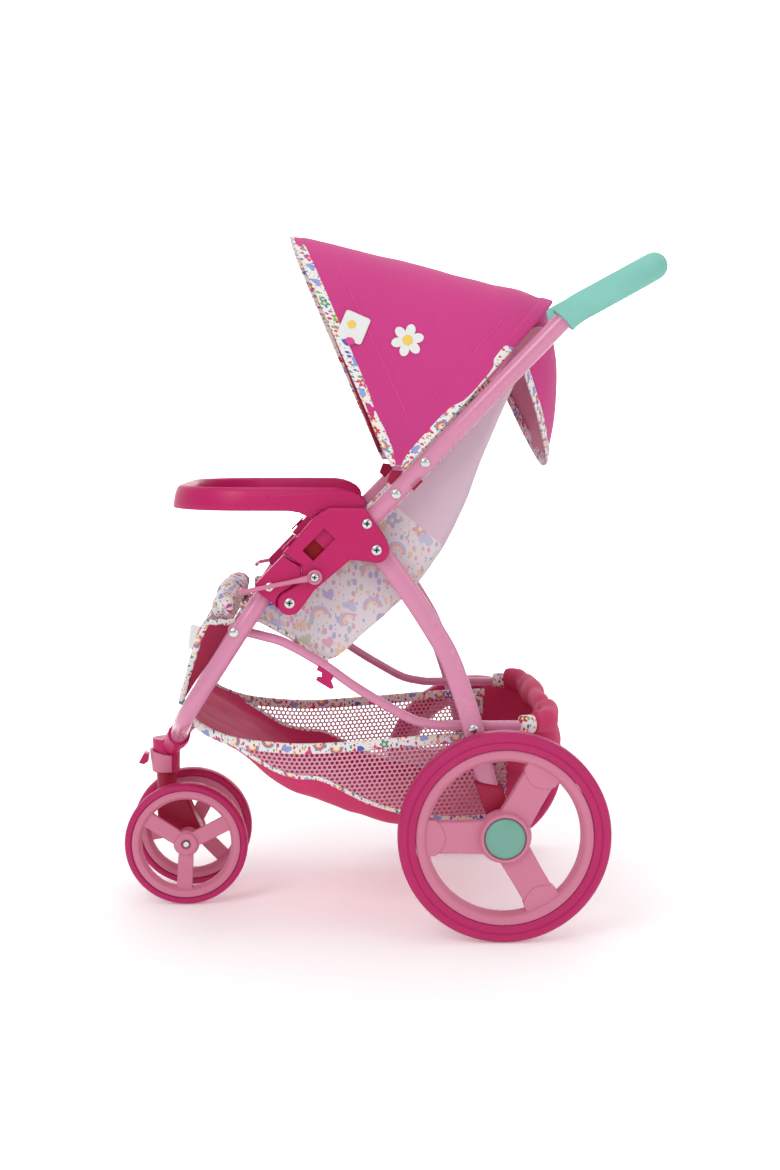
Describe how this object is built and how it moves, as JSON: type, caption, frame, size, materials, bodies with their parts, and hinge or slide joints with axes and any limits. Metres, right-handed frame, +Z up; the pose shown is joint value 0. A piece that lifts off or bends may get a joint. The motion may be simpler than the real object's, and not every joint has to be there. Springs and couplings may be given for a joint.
{
  "type": "doll stroller",
  "caption": "Folding jogger stroller with a tray, hood, sling seat and mesh basket, on small paired front caster wheels and large spoked rear wheels.",
  "frame": {"origin": "middle of the bounding box in X and Y, on the floor the wheels stand on", "axes": "-X is the way it is pushed, +X to the person pushing, +Z up; the left side is -Y"},
  "size_m": [0.4869, 0.3328, 0.6279],
  "materials": {
    "plastic_magenta": "moulded magenta plastic, soft satin",
    "plastic_deep": "moulded dark red plastic, satin",
    "paint_pink": "light pink gloss enamel on steel tube",
    "plastic_pink": "moulded light pink plastic, satin",
    "tyre": "raspberry foam rubber, matte",
    "foam_mint": "mint foam sleeve, matte",
    "cap_mint": "mint hub cap, satin",
    "steel": "bright plated screws and axles",
    "canopy_cloth": "pink woven polyester",
    "seat_cloth": "pale pink printed polyester",
    "basket_cloth": "deep pink cloth and open mesh"
  },
  "bodies": {
    "push_frame": {"push_handle": "paint_pink", "handle_grip": "foam_mint", "tray": "plastic_magenta", "canopy_cover": "canopy_cloth", "canopy_bow_rear": "plastic_deep", "canopy_flap": "canopy_cloth", "seat_sling": "seat_cloth", "hinge_housing_left": "plastic_magenta", "hinge_housing_right": "plastic_magenta", "canopy_clip_left": "plastic_deep", "canopy_clip_right": "plastic_deep", "fold_pin_left": "steel", "fold_pin_right": "steel", "rear_pin_left": "steel", "rear_pin_right": "steel", "bail_screw_left": "steel", "bail_screw_right": "steel", "housing_screw_left": "steel", "housing_screw_right": "steel"},
    "front_frame": {"front_yoke": "plastic_magenta", "head_cover": "plastic_pink", "seat_roll": "seat_cloth", "leg_panel": "basket_cloth", "front_leg_left": "paint_pink", "front_leg_right": "paint_pink", "leg_bracket_left": "plastic_magenta", "leg_bracket_right": "plastic_magenta", "bracket_screw_left": "steel", "bracket_screw_right": "steel", "rail_rivet_left": "steel", "rail_rivet_right": "steel"},
    "rear_frame": {"rear_axle": "steel", "rear_leg_left": "paint_pink", "rear_leg_right": "paint_pink", "axle_foot_left": "plastic_deep", "axle_foot_right": "plastic_deep", "leg_rivet_left": "steel", "leg_rivet_right": "steel"},
    "rails": {"basket_rail": "paint_pink", "basket": "basket_cloth", "rail_hook_left": "plastic_magenta", "rail_hook_right": "plastic_magenta"},
    "caster": {"caster_fork": "plastic_deep", "front_axle": "steel"},
    "swivel_tab": {"swivel_lock": "plastic_magenta"},
    "front_wheel_left": {"front_rim_left": "plastic_pink", "front_tyre_left": "tyre"},
    "front_wheel_right": {"front_rim_right": "plastic_pink", "front_tyre_right": "tyre"},
    "rear_wheel_left": {"rear_rim_left": "plastic_pink", "rear_tyre_left": "tyre", "hub_cap_left": "cap_mint"},
    "rear_wheel_right": {"rear_rim_right": "plastic_pink", "rear_tyre_right": "tyre", "hub_cap_right": "cap_mint"},
    "bail_left": {"lock_bail_left": "plastic_pink"},
    "bail_right": {"lock_bail_right": "plastic_pink"},
    "slider_left": {"lock_slider_left": "plastic_magenta"},
    "slider_right": {"lock_slider_right": "plastic_magenta"},
    "canopy_front": {"canopy_bow_front": "plastic_deep"}
  },
  "joints": [
    {"name": "fold", "type": "hinge", "parent": "push_frame", "child": "front_frame", "pos_m": [-0.0865, 0, 0.2935], "axis": [0, -1, 0], "range_deg": [0, 110], "deforming": ["seat_sling", "seat_roll", "leg_panel", "basket", "canopy_flap"]},
    {"name": "rear_fold", "type": "hinge", "parent": "push_frame", "child": "rear_frame", "pos_m": [-0.0125, 0, 0.3384], "axis": [0, -1, 0], "range_deg": [0, 59]},
    {"name": "rail_fold", "type": "hinge", "parent": "front_frame", "child": "rails", "pos_m": [-0.134, 0, 0.268], "axis": [0, 1, 0], "range_deg": [0, 69]},
    {"name": "caster_swivel", "type": "hinge", "parent": "front_frame", "child": "caster", "pos_m": [-0.208, 0, 0.12], "axis": [0, 0, 1], "continuous": true},
    {"name": "front_spin_left", "type": "hinge", "parent": "caster", "child": "front_wheel_left", "pos_m": [-0.187, 0, 0.057], "axis": [0, 1, 0], "continuous": true},
    {"name": "front_spin_right", "type": "hinge", "parent": "caster", "child": "front_wheel_right", "pos_m": [-0.187, 0, 0.057], "axis": [0, 1, 0], "continuous": true},
    {"name": "rear_spin_left", "type": "hinge", "parent": "rear_frame", "child": "rear_wheel_left", "pos_m": [0.097, 0, 0.092], "axis": [0, 1, 0], "continuous": true},
    {"name": "rear_spin_right", "type": "hinge", "parent": "rear_frame", "child": "rear_wheel_right", "pos_m": [0.097, 0, 0.092], "axis": [0, 1, 0], "continuous": true},
    {"name": "swivel_lock_slide", "type": "slide", "parent": "front_frame", "child": "swivel_tab", "axis": [0, 0, 1], "range_m": [0, 0.004]},
    {"name": "bail_swing_left", "type": "hinge", "parent": "push_frame", "child": "bail_left", "pos_m": [-0.0649, 0, 0.316], "axis": [0, 1, 0], "range_deg": [0, 50]},
    {"name": "bail_swing_right", "type": "hinge", "parent": "push_frame", "child": "bail_right", "pos_m": [-0.0649, 0, 0.316], "axis": [0, 1, 0], "range_deg": [0, 50]},
    {"name": "lock_slide_left", "type": "slide", "parent": "push_frame", "child": "slider_left", "axis": [0.7009, 0, 0.7132], "range_m": [0, 0.008]},
    {"name": "lock_slide_right", "type": "slide", "parent": "push_frame", "child": "slider_right", "axis": [0.7009, 0, 0.7132], "range_m": [0, 0.008]},
    {"name": "canopy_fold", "type": "hinge", "parent": "push_frame", "child": "canopy_front", "pos_m": [0.004, 0, 0.4], "axis": [0, 1, 0], "range_deg": [0, 38], "deforming": ["canopy_cover"]}
  ],
  "couplings": [
    {"joint": "rear_fold", "follows": "fold", "ratio": 0.5347},
    {"joint": "rail_fold", "follows": "fold", "ratio": 0.6233}
  ]
}
